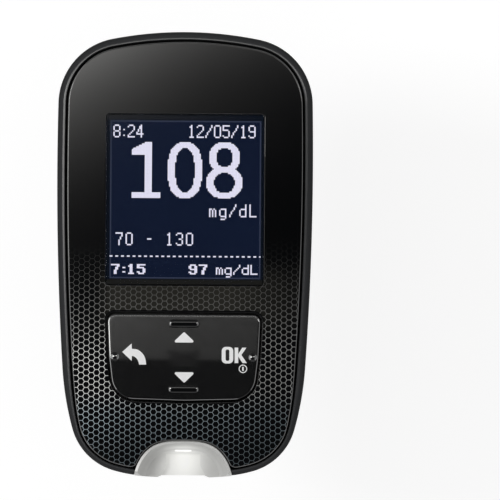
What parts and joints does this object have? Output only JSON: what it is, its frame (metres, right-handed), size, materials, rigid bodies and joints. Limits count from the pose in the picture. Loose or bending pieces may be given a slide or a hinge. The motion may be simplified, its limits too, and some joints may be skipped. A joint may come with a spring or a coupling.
{
  "type": "blood glucose meter",
  "caption": "Handheld blood glucose meter with a display window, a tipping key plate, a scooped strip port at the foot and a hinged battery door at the back.",
  "frame": {"origin": "middle of the meter's outline, on the plane it lies on", "axes": "+Z out of the display, +Y towards the display end, away from the strip port, +X to the right as the display is read"},
  "size_m": [0.0464, 0.0807, 0.02],
  "materials": {
    "bezel_plastic": "semi-gloss moulded black",
    "cover_gloss": "glossy black with a printed honeycomb",
    "adhesive_film": "thin double-sided film",
    "window_acrylic": "clear acrylic",
    "foam": "black foam",
    "polariser_film": "dark blue film",
    "display_glass": "clear",
    "white_plastic": "white light guide",
    "flex_film": "amber polyimide film",
    "key_plastic": "semi-gloss black with white marks",
    "acetal": "natural acetal",
    "silicone": "translucent silicone",
    "spring_steel": "sprung steel",
    "white_frame": "white moulded",
    "lens_plastic": "translucent silver-grey",
    "connector_plastic": "black",
    "gold_contact": "gold plated",
    "lamp_package": "white lamp package",
    "board_green": "green solder mask",
    "chip_black": "black epoxy",
    "can_steel": "plain can",
    "component_ceramic": "ceramic",
    "screw_steel": "zinc plated",
    "port_steel": "tin plated",
    "contact_nickel": "nickel plated",
    "cell_steel": "nickel plated can",
    "rear_plastic": "fine textured black",
    "label_film": "blank satin film"
  },
  "bodies": {
    "case": {"front_bezel": "bezel_plastic", "front_cover": "cover_gloss", "cover_adhesive": "adhesive_film", "display_window": "window_acrylic", "display_gasket": "foam", "display_polariser": "polariser_film", "display_front_glass": "display_glass", "display_rear_glass": "display_glass", "display_backlight": "white_plastic", "display_flex_cable": "flex_film", "key_mat": "silicone", "key_domes": "spring_steel", "chassis_frame": "white_frame", "strip_port_lens": "lens_plastic", "strip_connector": "connector_plastic", "strip_contacts": "gold_contact", "port_lights": "lamp_package", "main_board": "board_green", "processor_chip": "chip_black", "memory_chip": "chip_black", "clock_crystal": "can_steel", "small_components": "component_ceramic", "buzzer": "connector_plastic", "board_screws": "screw_steel", "data_port_shell": "port_steel", "data_port_tongue": "connector_plastic", "battery_contacts_negative": "contact_nickel", "battery_contacts_positive": "contact_nickel", "battery_cell_upper": "cell_steel", "battery_cell_lower": "cell_steel", "rear_housing": "rear_plastic", "rear_label": "label_film"},
    "key": {"rocker_key": "key_plastic"},
    "yoke": {"rocker_yoke": "acetal"},
    "door": {"battery_door": "rear_plastic"},
    "latch": {"battery_door_latch": "rear_plastic"}
  },
  "joints": [
    {"name": "key_tip_up_down", "type": "hinge", "parent": "case", "child": "yoke", "pos_m": [0, -0.0185, 0.016], "axis": [1, 0, 0], "range_deg": [-2, 2], "stiffness_Nm_per_rad": 0.05},
    {"name": "key_tip_left_right", "type": "hinge", "parent": "yoke", "child": "key", "pos_m": [0, -0.0185, 0.016], "axis": [0, 1, 0], "range_deg": [-1.2, 1.2], "stiffness_Nm_per_rad": 0.05},
    {"name": "door_hinge", "type": "hinge", "parent": "case", "child": "door", "pos_m": [0, 0.01915, 0.0002], "axis": [1, 0, 0], "range_deg": [0, 75]},
    {"name": "latch_flex", "type": "hinge", "parent": "door", "child": "latch", "pos_m": [0, -0.0236, 0.0008], "axis": [-1, 0, 0], "range_deg": [0, 4], "stiffness_Nm_per_rad": 0.02}
  ]
}
